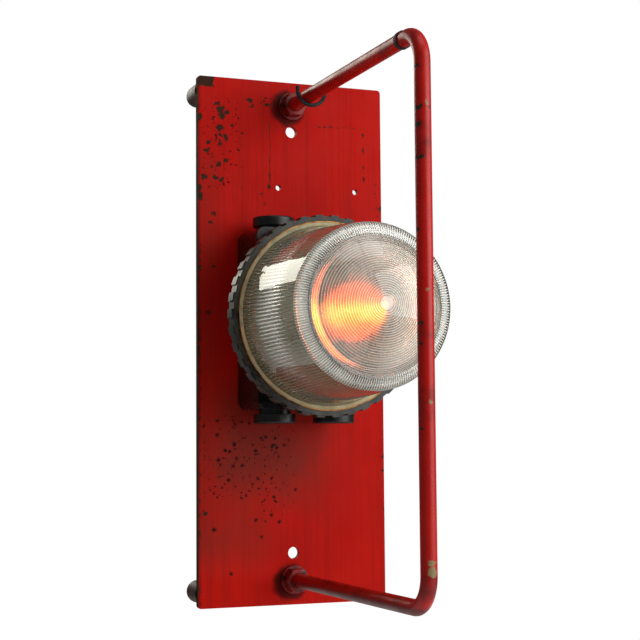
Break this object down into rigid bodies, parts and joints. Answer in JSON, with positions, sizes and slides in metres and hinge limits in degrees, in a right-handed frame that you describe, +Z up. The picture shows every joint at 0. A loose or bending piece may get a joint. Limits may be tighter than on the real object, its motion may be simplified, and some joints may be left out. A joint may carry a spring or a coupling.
{
  "type": "barrier warning lamp",
  "caption": "Barrier warning lamp: ribbed glass lantern with a lens front on a moulded base, on a red steel plate with a bent guard bar.",
  "frame": {"origin": "middle of the plate's back face, halfway between the two wall fixing holes", "axes": "+Z up along the plate, +Y into the wall, so the lamp faces -Y; +X to the right seen from the front"},
  "size_m": [0.172, 0.308, 0.45],
  "materials": {
    "red_plate": "worn gloss red enamel with dark chips",
    "red_guard": "worn gloss red enamel",
    "red_hardware": "thick old red enamel",
    "peg_brown": "worn dark brown enamel",
    "tie_black": "matt black cord",
    "seal_black": "matt black rubber",
    "base_black": "aged black phenolic moulding",
    "cap_black": "aged black phenolic moulding",
    "ring_dark": "greyed black phenolic moulding",
    "slip_bronze": "tarnished bronze",
    "gasket_cream": "aged cream rubber",
    "globe_glass": "clear pressed glass, ribbed",
    "zinc_steel": "dull zinc plate",
    "porcelain": "glazed",
    "contact_brass": "dull brass",
    "wire_brown": "insulation",
    "wire_blue": "insulation",
    "insulator_black": "black glass",
    "tip_solder": "solder",
    "bulb_glass": "clear thin glass",
    "filament": "glowing tungsten"
  },
  "bodies": {
    "root": {"back_plate": "red_plate", "standoff_pegs": "peg_brown", "guard_bar": "red_guard", "guard_front_washers": "red_hardware", "guard_front_nuts": "red_hardware", "guard_rear_washers": "red_hardware", "guard_rear_nuts": "red_hardware", "cord_hook": "tie_black", "cord_band": "tie_black", "base_gasket": "seal_black", "base_housing": "base_black", "base_screws": "zinc_steel", "base_washers": "zinc_steel", "base_nuts": "zinc_steel", "entry_seals": "seal_black", "entry_gland_seal": "seal_black", "seat_gasket": "seal_black", "lampholder_bracket": "zinc_steel", "bracket_screws": "zinc_steel", "lampholder_body": "porcelain", "lampholder_screws": "zinc_steel", "lampholder_shell": "contact_brass", "lampholder_contact": "contact_brass", "lampholder_terminals": "contact_brass", "terminal_block": "porcelain", "terminal_clamps": "contact_brass", "terminal_screws": "contact_brass", "live_wire": "wire_brown", "neutral_wire": "wire_blue"},
    "glass": {"glass_globe": "globe_glass", "glass_gasket": "gasket_cream", "slip_ring": "slip_bronze"},
    "ring": {"clamp_ring": "ring_dark"},
    "bulb": {"bulb_cap": "contact_brass", "bulb_insulator": "insulator_black", "bulb_tip_contact": "tip_solder", "bulb_glass": "bulb_glass", "bulb_stem": "bulb_glass", "bulb_filament": "filament"},
    "cap_top_left": {"entry_cap_top_left": "cap_black"},
    "cap_top_right": {"entry_cap_top_right": "cap_black"},
    "cap_bottom_left": {"entry_cap_bottom_left": "cap_black"},
    "gland_nut": {"entry_gland_nut": "cap_black"}
  },
  "joints": [
    {"name": "glass_lift", "type": "slide", "parent": "root", "child": "glass", "axis": [0, -1, 0], "range_m": [0, 0.05]},
    {"name": "ring_turn", "type": "hinge", "parent": "glass", "child": "ring", "pos_m": [0, -0.08, 0.0145], "axis": [0, -1, 0], "range_deg": [0, 360]},
    {"name": "bulb_turn", "type": "hinge", "parent": "root", "child": "bulb", "pos_m": [0, -0.08, 0.0145], "axis": [0, -1, 0], "range_deg": [0, 900]},
    {"name": "cap_top_left_turn", "type": "hinge", "parent": "root", "child": "cap_top_left", "pos_m": [-0.0265, -0.032, 0.0975], "axis": [0, 0, 1], "range_deg": [0, 720]},
    {"name": "cap_top_right_turn", "type": "hinge", "parent": "root", "child": "cap_top_right", "pos_m": [0.0265, -0.032, 0.0975], "axis": [0, 0, 1], "range_deg": [0, 720]},
    {"name": "cap_bottom_left_turn", "type": "hinge", "parent": "root", "child": "cap_bottom_left", "pos_m": [-0.0265, -0.032, -0.0685], "axis": [0, 0, -1], "range_deg": [0, 720]},
    {"name": "gland_nut_turn", "type": "hinge", "parent": "root", "child": "gland_nut", "pos_m": [0.0265, -0.032, -0.0685], "axis": [0, 0, -1], "range_deg": [0, 720]}
  ]
}
